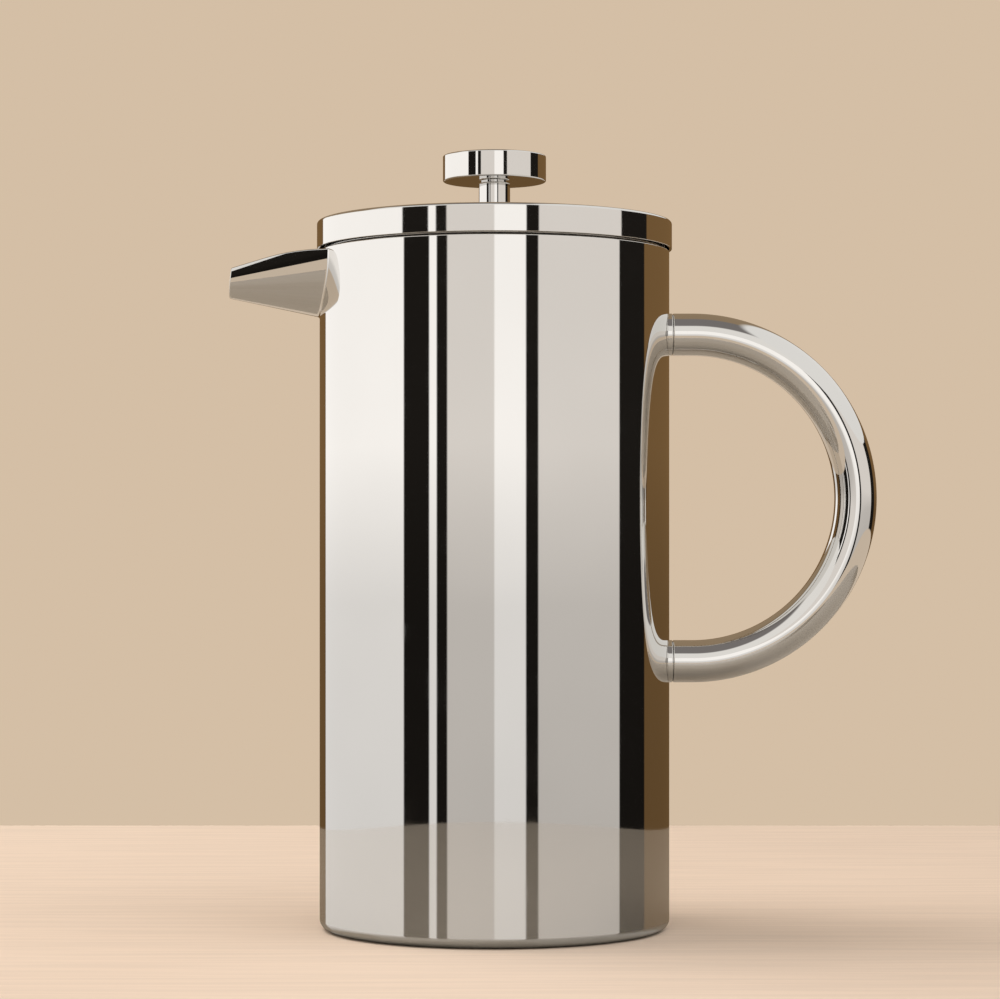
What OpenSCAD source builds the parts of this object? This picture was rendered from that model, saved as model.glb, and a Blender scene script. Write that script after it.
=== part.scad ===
// Double-wall French press: an insulated carafe, a turning lid, and a plunger with its screens.
// The origin is the centre of the base, on the surface that the press stands on. +Z is up,
// the spout points along -X and the handle along +X. Sizes are in millimetres.

/* [Carafe] */
// Outside diameter of the body
body_d = 105; // [90:0.5:130]
// Height of the rim above the base
body_h = 203; // [175:1:250]
// Thickness of the sheet steel
sheet_t = 0.8; // [0.6:0.05:1]
// Insulating space between the two walls
wall_gap = 3.4; // [2.5:0.1:6]
// Outside radius of the corner around the base
corner_r = 3; // [2:0.25:5]
// Outside radius of the rolled rim
rim_r = 1.1; // [1.05:0.05:2]
// Width of the flat ring that the carafe stands on
foot_w = 5; // [3:0.5:10]
// Height of the raised centre of the base cover
base_dish = 1.2; // [0.8:0.1:2]
// Height of the brewing floor above the base
floor_h = 8.8; // [6:0.2:14]
// Inside radius of the corner around the brewing floor
floor_r = 7; // [4:0.5:10]

/* [Spout] */
// Reach of the tip beyond the side of the body
spout_reach = 26.9; // [20:0.1:36]
// Radius of the trough where its axis meets the side of the body
spout_root_r = 17.9; // [14:0.1:20]
// Radius of the trough at its tip
spout_tip_r = 5.9; // [4:0.1:9]
// Downward tilt of the trough's axis, in degrees
spout_tilt = 11; // [6:1:14]
// Depth of the trough's axis below the rim at the side of the body
spout_drop = 2.7; // [1:0.1:4]
// Depth of the trough's edges below the rim at the side of the body
spout_sink = 0.8; // [0.2:0.1:2]
// Length of the level part of the edges, beyond the side of the body
spout_level = 0; // [0:0.5:7]
// Radius that the edges curve down with
spout_edge_r = 65; // [25:1:90]
// Slope of the straight edges near the tip, in degrees
spout_slope = 14; // [8:1:18]
// Backward lean of the tip's end face, in degrees
spout_lean = 6.5; // [0:0.5:12]

/* [Handle] */
// Outside diameter of the handle tube
handle_d = 12.7; // [9:0.1:16]
// Wall of the handle tube
handle_wall = 1; // [0.8:0.1:1.5]
// Distance between the centrelines of the two legs
handle_span = 98.2; // [70:0.2:125]
// Height of the handle's middle above the base
handle_mid_h = 129.1; // [95:0.1:140]
// Reach of the straight legs beyond the side of the body
handle_leg = 7; // [4:0.5:20]
// Thickness of the collar between the body and the tube
boss_t = 1.1; // [0.8:0.1:3]
// Depth that each boss reaches into the tube
boss_plug = 6; // [3:0.5:10]
// Radius of the small hollow in each boss
boss_hollow_r = 3; // [1:0.5:3]

/* [Lid] */
// How far the lid stands out beyond the side of the body
lid_lap = 0.8; // [0.3:0.1:2]
// Height of the lid's outer skirt
lid_h = 8.2; // [6:0.1:14]
// Shadow gap between the rim and the lid's outer skirt
lid_gap = 0.6; // [0.6:0.1:1.5]
// Radius of the lid's upper edge
lid_edge_r = 1.2; // [1.05:0.05:2]
// Depth of the pan's floor below the rim
pan_depth = 4; // [2:0.5:6]
// Width of the ledge that rests on the rim
ledge_w = 3; // [2:0.25:3.5]
// Depth of the strainer ring below the rim
strainer_depth = 18; // [14:0.5:22]
// Width of one pouring slot
slot_w = 2; // [1:0.1:2.5]
// Height of one pouring slot
slot_h = 11; // [6:0.5:12]
// Number of pouring slots
slot_count = 9; // [3:2:11]
// Angle between neighbouring pouring slots, in degrees
slot_pitch = 4.6; // [4:0.1:5]

/* [Rod guide] */
// Outside diameter of the bush
bush_d = 8; // [7:0.1:8.4]
// Diameter of the bush's flange
flange_d = 13; // [11:0.5:20]
// Thickness of the bush's flange
flange_t = 1.25; // [0.8:0.05:3]
// Length of the bush below the pan's floor
bush_tail = 7; // [4:0.5:12]
// Thickness of the retaining clip
clip_t = 0.8; // [0.6:0.1:1.2]
// Outside diameter of the retaining clip
clip_d = 12; // [10.5:0.5:16]
// Depth of the groove that holds the clip
clip_groove = 0.6; // [0.3:0.1:0.8]

/* [Plunger] */
// Diameter of the plunger rod
rod_d = 5; // [4:0.1:5.4]
// Diameter of the knob
knob_d = 31; // [24:0.5:44]
// Thickness of the knob
knob_h = 7.8; // [6.5:0.1:14]
// Radius of the knob's edges
knob_edge_r = 1; // [0.5:0.1:2]
// Diameter of the neck under the knob
neck_d = 9.4; // [8:0.1:12]
// Height of the neck under the knob
neck_h = 11; // [6:0.1:20]
// Depth that the rod reaches into the knob
knob_hold = 4.8; // [3:0.1:5.5]
// Diameter of the hub at the rod's lower end
hub_d = 12; // [11:0.5:18]
// Height of the hub
hub_h = 12.6; // [10:0.1:20]
// Height of the cone on top of the hub
hub_cone_h = 3.5; // [2:0.5:5]

/* [Screens] */
// Room for the grounds under the screens when the plunger is down
grounds_h = 10; // [8:0.5:30]
// Play between the edge of the screens and the liner
screen_play = 0.35; // [0.3:0.05:0.8]
// Thickness of the woven mesh
mesh_t = 0.3; // [0.2:0.05:0.4]
// Outside diameter of the coil spring's winding
coil_d = 4.6; // [3.5:0.1:6]
// Thickness of the eyelet's two flanges
eyelet_t = 0.3; // [0.2:0.05:0.5]
// Height of the cross plate's turned-down rim
cross_rim_h = 2; // [1:0.25:4]
// Width of the cross plate's outer ring
cross_ring_w = 7; // [4:0.5:10]
// Width of each spoke
spoke_w = 9; // [5:0.5:14]
// Number of spokes
spoke_count = 4; // [3:1:6]
// Diameter of the threaded boss on the cross plate
boss_d = 8; // [7.6:0.1:8.6]
// Length of rod that is screwed into the boss
thread_l = 5; // [4:0.25:6]
// Rise of the boss above the spiral plate
boss_rise = 3.8; // [3:0.1:5]
// Diameter of the holes in the spiral plate
drain_d = 3.4; // [2:0.1:4]

/* [Clearances] */
// Radial running clearance of the rod, the bush and the boss
run_gap = 0.05; // [0.02:0.01:0.1]
// Gap between flat faces of pieces that move apart
seat_gap = 0.05; // [0.02:0.01:0.15]
// Gap between the strainer ring and the liner
ring_gap = 0.3; // [0.2:0.05:0.6]
// Gap between the lid's ledge and the rim
rest_gap = 0.1; // [0.05:0.05:0.2]

/* [Hidden] */
$fn = 96;
cut = 1;                                      // how far a cutting shape runs past what it cuts

// Carafe
body_r = body_d / 2;
shell_in_r = body_r - sheet_t;
liner_out_r = shell_in_r - wall_gap;
liner_r = liner_out_r - sheet_t;
foot_in_r = body_r - corner_r - foot_w;
weld_lap = 2;                                 // overlap of the base cover on the foot ring

// Spout: the trough is a cone about a tilted axis, measured from the side of the body
spout_axis_h = body_h - spout_drop;
spout_len = spout_reach / cos(spout_tilt) + spout_tip_r * tan(spout_tilt);
spout_taper = (spout_root_r - spout_tip_r) / spout_len;
spout_wall = sheet_t * sqrt(1 + spout_taper * spout_taper);
spout_inner_run = 12;                         // how far the cone runs into the body
spout_tip_x = -body_r - spout_reach;
spout_edge_h = body_h - spout_sink;
spout_level_x = -body_r - spout_level;
spout_bend_x = spout_level_x - spout_edge_r * sin(spout_slope);
spout_bend_h = spout_edge_h - spout_edge_r * (1 - cos(spout_slope));

// Handle
handle_r = handle_span / 2;
handle_centre_x = body_r + handle_leg;
tube_bore_r = handle_d / 2 - handle_wall;
upper_leg_h = handle_mid_h + handle_r;
lower_leg_h = handle_mid_h - handle_r;

// Lid
lid_r = body_r + lid_lap;
skirt_h = body_h + lid_gap;
lid_top = skirt_h + lid_h;
ring_out_r = liner_r - ring_gap;
ring_in_r = ring_out_r - sheet_t;
pan_wall_in_r = ring_in_r - sheet_t;
ledge_r = liner_r + ledge_w;
ledge_h = body_h + rest_gap;
pan_floor_h = body_h - pan_depth;
ring_low_h = body_h - strainer_depth;
slot_mid_h = (ring_low_h + pan_floor_h) / 2;

// Rod guide
rod_r = rod_d / 2;
bush_r = bush_d / 2;
bush_low_h = pan_floor_h - bush_tail;
flange_low_h = lid_top + seat_gap;
flange_top_h = flange_low_h + flange_t;
clip_top_h = pan_floor_h - seat_gap;

// Screens, from the bottom up
cross_low_h = floor_h + grounds_h;
cross_h = cross_low_h + cross_rim_h;
eyelet_h = cross_h + sheet_t;
mesh_h = eyelet_h + eyelet_t;
spiral_h = mesh_h + mesh_t + eyelet_t;
spiral_top = spiral_h + sheet_t;
screen_r = liner_r - screen_play;
coil_r = coil_d / 2;
coil_centre_r = screen_r - mesh_t - coil_r;
coil_centre_h = mesh_h + mesh_t + coil_r;
mesh_top = coil_centre_h + coil_r + mesh_t;
fold_w = 1.8;                                 // width of the mesh folded over the coil
spiral_r = coil_centre_r - coil_r - run_gap;
spiral_lip_h = 3;                             // height of the spiral plate's turned-up edge
cross_r = screen_r - 2;
boss_r = boss_d / 2;
boss_hole_r = boss_r + 2 * run_gap;
boss_top = spiral_top + boss_rise;
eyelet_barrel_r = boss_hole_r + sheet_t;
eyelet_r = eyelet_barrel_r + 1.5;
drain_rings = [[12.5, 9], [19, 14], [25.5, 20], [32, 26]];    // radius and number of holes

// Plunger
hub_low_h = spiral_top + seat_gap;
hub_top = hub_low_h + hub_h;
rod_low_h = boss_top - thread_l;
neck_low_h = flange_top_h + seat_gap;
knob_low_h = neck_low_h + neck_h;
knob_top = knob_low_h + knob_h;
rod_top_h = knob_low_h + knob_hold;

// Half section of a turned disc from height z0 to z1, with rounded outer corners
module disc_section(r, z0, z1, low_r = 0, top_r = 0) {
    translate([0, z0 + low_r]) square([r, z1 - z0 - low_r - top_r]);
    if (low_r > 0) {
        translate([0, z0]) square([r - low_r, low_r]);
        intersection() {
            translate([r - low_r, z0 + low_r]) circle(low_r);
            translate([r - low_r, z0]) square(low_r);
        }
    }
    if (top_r > 0) {
        translate([0, z1 - top_r]) square([r - top_r, top_r]);
        intersection() {
            translate([r - top_r, z1 - top_r]) circle(top_r);
            translate([r - top_r, z1 - top_r]) square(top_r);
        }
    }
}

// Half section of a turned ring
module ring_section(r0, r1, z0, z1) {
    translate([r0, z0]) square([r1 - r0, z1 - z0]);
}

// Cone of the spout's trough, drawn smaller by inset
module trough_cone(inset = 0) {
    extra = 6;                                // length past the tip, cut off by the end face
    translate([-body_r, 0, spout_axis_h]) rotate([0, -90 - spout_tilt, 0])
        translate([0, 0, -spout_inner_run]) cylinder(
            h = spout_inner_run + spout_len + extra,
            r1 = spout_root_r + spout_inner_run * spout_taper - inset,
            r2 = spout_tip_r - extra * spout_taper - inset);
}

// Side outline of the spout, in X and Z: level edge, curve, straight edge and leaning tip
module spout_outline() {
    low = body_h - 2 * spout_root_r;
    lean_x = (spout_bend_h - low) * tan(spout_lean);
    translate([spout_level_x, low]) square([-spout_level_x, spout_edge_h - low]);
    intersection() {
        translate([spout_level_x, spout_edge_h - spout_edge_r]) circle(spout_edge_r, $fn = 180);
        translate([spout_bend_x, low]) square([spout_level_x - spout_bend_x, spout_edge_h - low]);
    }
    intersection() {
        polygon([
            [spout_bend_x, low],
            [spout_bend_x, spout_bend_h],
            [spout_tip_x - spout_reach, spout_bend_h
                - (spout_bend_x - spout_tip_x + spout_reach) * tan(spout_slope)],
            [spout_tip_x - spout_reach, low]
        ]);
        translate([spout_tip_x, spout_axis_h - spout_root_r / 2]) rotate(-spout_lean)
            translate([0, -spout_reach]) square(2 * spout_reach);
    }
}

// One boss: a collar saddled onto the body and a plug that fits the tube
module handle_boss(h) {
    difference() {
        translate([0, 0, h]) rotate([0, 90, 0]) {
            cylinder(h = body_r + boss_t, r = handle_d / 2);
            cylinder(h = body_r + boss_t + boss_plug, r = tube_bore_r);
        }
        translate([0, 0, h - handle_d]) cylinder(h = 2 * handle_d, r = body_r);
        translate([body_r + boss_t, 0, h]) rotate([0, 90, 0])
            cylinder(h = boss_plug + cut, r = boss_hollow_r);
    }
}

// Pouring slot with round ends, cut outwards along +X
module pour_slot() {
    reach = 2 * sheet_t + 2 * cut;
    rotate([0, 90, 0]) {
        for (side = [-1, 1])
            translate([side * (slot_h - slot_w) / 2, 0, 0]) cylinder(h = reach, r = slot_w / 2);
        translate([-(slot_h - slot_w) / 2, -slot_w / 2, 0]) cube([slot_h - slot_w, slot_w, reach]);
    }
}

module outer_shell() {
    color("gainsboro") difference() {
        rotate_extrude() difference() {
            disc_section(body_r, 0, body_h, corner_r, rim_r);
            disc_section(shell_in_r, sheet_t, body_h - sheet_t, corner_r - sheet_t, rim_r - sheet_t);
            translate([0, body_h - 2 * sheet_t]) square([liner_out_r, 3 * sheet_t]);
            translate([0, -cut]) square([foot_in_r, 2 * cut]);
        }
        trough_cone();
    }
}

module base_cover() {
    dish_r = foot_in_r - 3 * weld_lap;
    color("silver") rotate_extrude() {
        ring_section(dish_r, foot_in_r + weld_lap, sheet_t, 2 * sheet_t);
        ring_section(dish_r, dish_r + sheet_t, sheet_t, base_dish + 2 * sheet_t);
        ring_section(0, dish_r, base_dish + sheet_t, base_dish + 2 * sheet_t);
    }
}

module inner_liner() {
    color("silver") difference() {
        rotate_extrude() difference() {
            disc_section(liner_out_r, floor_h - sheet_t, body_h, floor_r + sheet_t);
            disc_section(liner_r, floor_h, body_h + cut, floor_r);
        }
        trough_cone();
    }
}

module spout() {
    half_w = 2 * spout_root_r;
    color("gainsboro") difference() {
        intersection() {
            trough_cone();
            rotate([90, 0, 0]) translate([0, 0, -half_w]) linear_extrude(2 * half_w) spout_outline();
        }
        trough_cone(spout_wall);
        cylinder(h = 2 * body_h, r = liner_r);
    }
}

module handle_tube() {
    leg_l = handle_leg - boss_t;
    color("gainsboro") union() {
        translate([handle_centre_x, 0, handle_mid_h]) rotate([90, 0, 0])
            rotate([0, 0, -90]) rotate_extrude(angle = 180) translate([handle_r, 0]) difference() {
                circle(handle_d / 2);
                circle(tube_bore_r);
            }
        for (h = [upper_leg_h, lower_leg_h])
            translate([body_r + boss_t, 0, h]) rotate([0, 90, 0]) difference() {
                cylinder(h = leg_l, r = handle_d / 2);
                translate([0, 0, -cut]) cylinder(h = leg_l + 2 * cut, r = tube_bore_r);
            }
    }
}

module upper_boss() {
    color("silver") handle_boss(upper_leg_h);
}

module lower_boss() {
    color("silver") handle_boss(lower_leg_h);
}

module lid_cover() {
    color("gainsboro") rotate_extrude() difference() {
        disc_section(lid_r, skirt_h, lid_top, 0, lid_edge_r);
        disc_section(lid_r - sheet_t, skirt_h - cut, lid_top - sheet_t, 0, lid_edge_r - sheet_t);
        translate([0, skirt_h]) square([bush_r + run_gap, 2 * lid_h]);
    }
}

module lid_pan() {
    color("silver") rotate_extrude() {
        ring_section(bush_r + run_gap, ring_in_r, pan_floor_h, pan_floor_h + sheet_t);
        ring_section(pan_wall_in_r, ring_in_r, pan_floor_h, ledge_h + sheet_t);
        ring_section(pan_wall_in_r, ledge_r, ledge_h, ledge_h + sheet_t);
        ring_section(ledge_r - sheet_t, ledge_r, ledge_h, lid_top - sheet_t);
    }
}

module strainer_ring() {
    color("silver") difference() {
        rotate_extrude() ring_section(ring_in_r, ring_out_r, ring_low_h, ledge_h);
        for (i = [0 : slot_count - 1])
            rotate([0, 0, 180 + (i - (slot_count - 1) / 2) * slot_pitch])
                translate([ring_in_r - cut, 0, slot_mid_h]) pour_slot();
    }
}

module lid_bush() {
    groove_r = bush_r - clip_groove;
    color("darkgray") rotate_extrude() difference() {
        union() {
            ring_section(rod_r + run_gap, bush_r, bush_low_h, flange_top_h);
            ring_section(rod_r + run_gap, flange_d / 2, flange_low_h, flange_top_h);
        }
        ring_section(groove_r, bush_r + cut, clip_top_h - clip_t, clip_top_h);
    }
}

module bush_clip() {
    groove_r = bush_r - clip_groove;
    mouth = 1.2 * groove_r;                   // width of the clip's open side
    color("dimgray") difference() {
        rotate_extrude() ring_section(groove_r, clip_d / 2, clip_top_h - clip_t, clip_top_h);
        translate([0, -mouth / 2, clip_top_h - clip_t - cut]) cube([clip_d, mouth, clip_t + 2 * cut]);
    }
}

module knob() {
    color("gainsboro") rotate_extrude() difference() {
        disc_section(knob_d / 2, knob_low_h, knob_top, knob_edge_r, knob_edge_r);
        translate([0, knob_low_h - cut]) square([rod_r, knob_hold + cut]);
    }
}

module knob_neck() {
    edge_r = 0.4;
    color("gainsboro") rotate_extrude() difference() {
        disc_section(neck_d / 2, neck_low_h, knob_low_h, edge_r, edge_r);
        translate([0, neck_low_h - cut]) square([rod_r, neck_h + 2 * cut]);
    }
}

module plunger_rod() {
    color("silver") translate([0, 0, rod_low_h]) cylinder(h = rod_top_h - rod_low_h, r = rod_r);
}

module rod_hub() {
    color("silver") difference() {
        union() {
            translate([0, 0, hub_low_h]) cylinder(h = hub_h - hub_cone_h, r = hub_d / 2);
            translate([0, 0, hub_top - hub_cone_h])
                cylinder(h = hub_cone_h, r1 = hub_d / 2, r2 = rod_r + sheet_t);
        }
        translate([0, 0, hub_low_h - cut]) cylinder(h = hub_h + 2 * cut, r = rod_r);
        translate([0, 0, hub_low_h - cut])
            cylinder(h = boss_top + 2 * seat_gap - hub_low_h + cut, r = boss_hole_r);
    }
}

module spiral_plate() {
    color("silver") difference() {
        rotate_extrude() {
            ring_section(boss_hole_r, spiral_r, spiral_h, spiral_top);
            ring_section(spiral_r - sheet_t, spiral_r, spiral_h, spiral_h + spiral_lip_h);
        }
        for (ring = drain_rings, i = [0 : ring[1] - 1])
            rotate([0, 0, (i + ring[0] / 4) * 360 / ring[1]])
                translate([ring[0] * spiral_r / 42, 0, spiral_h - cut])
                    cylinder(h = sheet_t + 2 * cut, r = drain_d / 2, $fn = 24);
    }
}

module coil_spring() {
    color("darkgray") rotate_extrude() translate([coil_centre_r, coil_centre_h])
        difference() {
            circle(coil_r);
            circle(coil_r - sheet_t);
        }
}

module filter_mesh() {
    color("gray") rotate_extrude() {
        ring_section(eyelet_barrel_r, screen_r, mesh_h, mesh_h + mesh_t);
        ring_section(screen_r - mesh_t, screen_r, mesh_h, mesh_top);
        ring_section(screen_r - fold_w, screen_r, mesh_top - mesh_t, mesh_top);
    }
}

module mesh_eyelet() {
    color("silver") rotate_extrude() {
        ring_section(boss_hole_r, eyelet_barrel_r, eyelet_h, spiral_h);
        ring_section(boss_hole_r, eyelet_r, eyelet_h, eyelet_h + eyelet_t);
        ring_section(boss_hole_r, eyelet_r, spiral_h - eyelet_t, spiral_h);
    }
}

module cross_plate() {
    centre_r = boss_r + 6;                    // disc around the boss
    color("silver") difference() {
        union() {
            rotate_extrude() {
                ring_section(cross_r - cross_ring_w, cross_r, cross_h, eyelet_h);
                ring_section(cross_r - sheet_t, cross_r, cross_low_h, eyelet_h);
                ring_section(0, centre_r, cross_h, eyelet_h);
            }
            for (i = [0 : spoke_count - 1])
                rotate([0, 0, 45 + i * 360 / spoke_count])
                    translate([0, -spoke_w / 2, cross_h])
                        cube([cross_r - cross_ring_w / 2, spoke_w, sheet_t]);
        }
        translate([0, 0, cross_h - cut]) cylinder(h = sheet_t + 2 * cut, r = boss_r);
    }
}

module cross_hub() {
    foot_t = 1;                               // flange under the cross plate
    bore_low_h = rod_low_h - 0.5;
    color("silver") difference() {
        union() {
            translate([0, 0, cross_h - foot_t]) cylinder(h = foot_t, r = boss_r + 2.5);
            translate([0, 0, cross_h - foot_t]) cylinder(h = boss_top - cross_h + foot_t, r = boss_r);
        }
        translate([0, 0, bore_low_h]) cylinder(h = boss_top - bore_low_h + cut, r = rod_r + run_gap);
    }
}

outer_shell();
base_cover();
inner_liner();
spout();
handle_tube();
upper_boss();
lower_boss();
lid_cover();
lid_pan();
strainer_ring();
lid_bush();
bush_clip();
knob();
knob_neck();
plunger_rod();
rod_hub();
spiral_plate();
coil_spring();
filter_mesh();
mesh_eyelet();
cross_plate();
cross_hub();
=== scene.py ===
"""Visual model of a mirror-polished double-wall French press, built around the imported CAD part.

Sizes are in metres, in the part's own frame: +Z is up, the spout points along -X and the handle
along +X. Places come from the boxes of the CAD nodes. Every turned piece is a lathe mesh with
exact normals, so that the mirror finish reflects the studio without facets.
"""

import math

import bpy
import numpy as np
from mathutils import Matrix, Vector


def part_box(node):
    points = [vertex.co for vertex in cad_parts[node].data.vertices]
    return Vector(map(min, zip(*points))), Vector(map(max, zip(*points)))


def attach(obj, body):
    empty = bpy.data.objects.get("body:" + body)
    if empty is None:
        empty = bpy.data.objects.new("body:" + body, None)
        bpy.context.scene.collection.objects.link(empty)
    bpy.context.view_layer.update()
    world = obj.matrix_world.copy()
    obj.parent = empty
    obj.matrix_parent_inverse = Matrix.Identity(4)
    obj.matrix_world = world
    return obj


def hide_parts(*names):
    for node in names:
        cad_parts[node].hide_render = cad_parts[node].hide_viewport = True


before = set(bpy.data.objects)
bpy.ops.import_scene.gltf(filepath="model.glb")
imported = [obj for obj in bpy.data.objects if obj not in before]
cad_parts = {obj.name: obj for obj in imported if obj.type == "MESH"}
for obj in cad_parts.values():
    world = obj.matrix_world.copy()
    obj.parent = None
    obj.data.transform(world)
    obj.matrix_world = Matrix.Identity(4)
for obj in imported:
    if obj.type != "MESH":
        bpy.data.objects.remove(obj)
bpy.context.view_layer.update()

MM = 0.001
UP = np.array([0.0, 0.0, 1.0])


# ---------------------------------------------------------------- places, from the CAD boxes

def reach(node):
    """Radius of a turned CAD node, with its lowest and highest height."""
    lo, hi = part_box(node)
    return hi.x, lo.z, hi.z


BODY_R, BASE_Z, RIM_Z = reach("outer_shell")
LINER_OUT_R, LINER_LOW_Z, _ = reach("inner_liner")
LID_R, SKIRT_Z, LID_TOP = reach("lid_cover")
LEDGE_R, PAN_FLOOR_Z, PAN_TOP_Z = reach("lid_pan")
RING_R, RING_LOW_Z, RING_TOP_Z = reach("strainer_ring")
FLANGE_R, BUSH_LOW_Z, FLANGE_TOP_Z = reach("lid_bush")
KNOB_R, KNOB_LOW_Z, KNOB_TOP_Z = reach("knob")
NECK_R, NECK_LOW_Z, NECK_TOP_Z = reach("knob_neck")
ROD_R, ROD_LOW_Z, ROD_TOP_Z = reach("plunger_rod")
HUB_R, HUB_LOW_Z, HUB_TOP_Z = reach("rod_hub")
SPIRAL_R, SPIRAL_Z, SPIRAL_LIP_Z = reach("spiral_plate")
COIL_OUT_R, COIL_LOW_Z, COIL_HIGH_Z = reach("coil_spring")
SCREEN_R, MESH_Z, MESH_TOP_Z = reach("filter_mesh")
COVER_R, COVER_LOW_Z, COVER_TOP_Z = reach("base_cover")
_, SPOUT_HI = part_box("spout")
TUBE_LO, TUBE_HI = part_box("handle_tube")

SHEET = 0.8 * MM
SHELL_IN_R = BODY_R - SHEET
LINER_R = LINER_OUT_R - SHEET
FLOOR_Z = LINER_LOW_Z + SHEET


# ---------------------------------------------------------------- mesh building

def add_mesh(name, verts, faces, loop_normals=None, vertex_normals=None):
    """A smooth-shaded mesh object with exact normals, one for each face corner or each vertex."""
    mesh = bpy.data.meshes.new(name)
    mesh.from_pydata([tuple(v) for v in verts], [], faces)
    mesh.polygons.foreach_set("use_smooth", [True] * len(mesh.polygons))
    if loop_normals is not None:
        mesh.normals_split_custom_set([tuple(n) for n in loop_normals])
    if vertex_normals is not None:
        mesh.normals_split_custom_set_from_vertices([tuple(n) for n in vertex_normals])
    piece = bpy.data.objects.new(name, mesh)
    bpy.context.scene.collection.objects.link(piece)
    return piece


def section(points, steps=6):
    """Edges of a half section, from corners (r, z, fillet radius) that go anticlockwise.

    Each edge is (start, end, normal at its start, normal at its end)."""
    count = len(points)
    edges = []
    arcs = []
    for i in range(count):
        before = np.array(points[i - 1][:2])
        here = np.array(points[i][:2])
        after = np.array(points[(i + 1) % count][:2])
        fillet = points[i][2] if len(points[i]) > 2 else 0.0
        way_in = (here - before) / np.linalg.norm(here - before)
        way_out = (after - here) / np.linalg.norm(after - here)
        turn = way_in[0] * way_out[1] - way_in[1] * way_out[0]
        if fillet <= 0 or abs(turn) < 1e-6:
            arcs.append([here])
            continue
        side = 1.0 if turn > 0 else -1.0
        angle = math.acos(np.clip(way_in @ way_out, -1, 1))
        setback = fillet * math.tan(angle / 2)
        begin = here - way_in * setback
        inward = np.array([-way_in[1], way_in[0]]) * side
        centre = begin + inward * fillet
        arc = []
        for k in range(steps + 1):
            a = side * angle * k / steps
            spoke = -inward
            turned = np.array([spoke[0] * math.cos(a) - spoke[1] * math.sin(a),
                               spoke[0] * math.sin(a) + spoke[1] * math.cos(a)])
            arc.append((centre + turned * fillet, turned * side))
        arcs.append(arc)
    for i in range(count):
        arc = arcs[i]
        if len(arc) > 1:
            for (p, n), (q, m) in zip(arc, arc[1:]):
                edges.append((p, q, n, m))
            last = arc[-1][0]
        else:
            last = arc[0]
        following = arcs[(i + 1) % count]
        first = following[0][0] if len(following) > 1 else following[0]
        if np.linalg.norm(first - last) > 1e-9 and max(first[0], last[0]) > 1e-9:
            way = (first - last) / np.linalg.norm(first - last)
            normal = np.array([way[1], -way[0]])
            edges.append((last, first, normal, normal))
    return edges


def lathe(name, points, around=384, steps=6):
    """Turns a closed half section about the Z axis."""
    edges = section(points, steps)
    keys, verts, faces, normals = {}, [], [], []
    turns = [2 * math.pi * k / around for k in range(around)]
    cosines, sines = np.cos(turns), np.sin(turns)

    def ring(p):
        key = (round(p[0], 9), round(p[1], 9))
        if key not in keys:
            keys[key] = len(verts)
            if p[0] < 1e-9:
                verts.append((0.0, 0.0, p[1]))
            else:
                verts.extend(zip(p[0] * cosines, p[0] * sines, [p[1]] * around))
        return keys[key]

    for p, q, n, m in edges:
        a, b = ring(p), ring(q)
        for k in range(around):
            j = (k + 1) % around
            here = (n[0] * cosines[k], n[0] * sines[k], n[1])
            beside = (n[0] * cosines[j], n[0] * sines[j], n[1])
            above = (m[0] * cosines[k], m[0] * sines[k], m[1])
            across = (m[0] * cosines[j], m[0] * sines[j], m[1])
            if p[0] < 1e-9:
                faces.append((a, b + j, b + k))
                normals += [here, across, above]
            elif q[0] < 1e-9:
                faces.append((a + k, a + j, b))
                normals += [here, beside, across]
            else:
                faces.append((a + k, a + j, b + j, b + k))
                normals += [here, beside, across, above]
    piece = add_mesh(name, verts, faces, normals)
    return piece, edges


def carve(piece, edges, cutters):
    """Cuts the cutters out of a turned piece, and gives what stays of it its exact normals again."""
    for cutter in cutters:
        cut = piece.modifiers.new("cut", "BOOLEAN")
        cut.operation = "DIFFERENCE"
        cut.solver = "EXACT"
        cut.object = cutter
    bpy.context.view_layer.update()
    seen = piece.evaluated_get(bpy.context.evaluated_depsgraph_get())
    mesh = bpy.data.meshes.new_from_object(seen)
    piece.modifiers.clear()
    piece.data = mesh
    for cutter in cutters:
        bpy.data.objects.remove(cutter)
    starts = np.array([e[0] for e in edges])
    ends = np.array([e[1] for e in edges])
    first = np.array([e[2] for e in edges])
    last = np.array([e[3] for e in edges])
    along = ends - starts
    lengths = (along ** 2).sum(1)
    middle_normal = first + last
    middle_normal /= np.linalg.norm(middle_normal, axis=1)[:, None]
    co = np.array([v.co for v in mesh.vertices])
    normals = []
    for face in mesh.polygons:
        corners = co[list(face.vertices)]
        radii = np.hypot(corners[:, 0], corners[:, 1])
        flat = np.stack([radii, corners[:, 2]], 1)
        centre = flat.mean(0)
        middle = corners.mean(0)
        spoke = middle[:2] / max(np.linalg.norm(middle[:2]), 1e-12)
        facing = np.array([face.normal[0] * spoke[0] + face.normal[1] * spoke[1], face.normal[2]])
        share = np.clip(((centre - starts) * along).sum(1) / lengths, 0, 1)
        gap = np.linalg.norm(starts + along * share[:, None] - centre, axis=1)
        gap += np.where(middle_normal @ facing > 0.9, 0, 1)
        best = int(gap.argmin())
        if gap[best] > 0.02 * MM:
            normals += [tuple(face.normal)] * len(face.vertices)
            continue
        for (x, y, _), (r, z) in zip(corners, flat):
            t = np.clip(((np.array([r, z]) - starts[best]) @ along[best]) / lengths[best], 0, 1)
            n = first[best] * (1 - t) + last[best] * t
            n /= np.linalg.norm(n)
            normals.append((n[0] * x / max(r, 1e-12), n[0] * y / max(r, 1e-12), n[1]))
    mesh.polygons.foreach_set("use_smooth", [True] * len(mesh.polygons))
    mesh.normals_split_custom_set(normals)
    return piece


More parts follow.
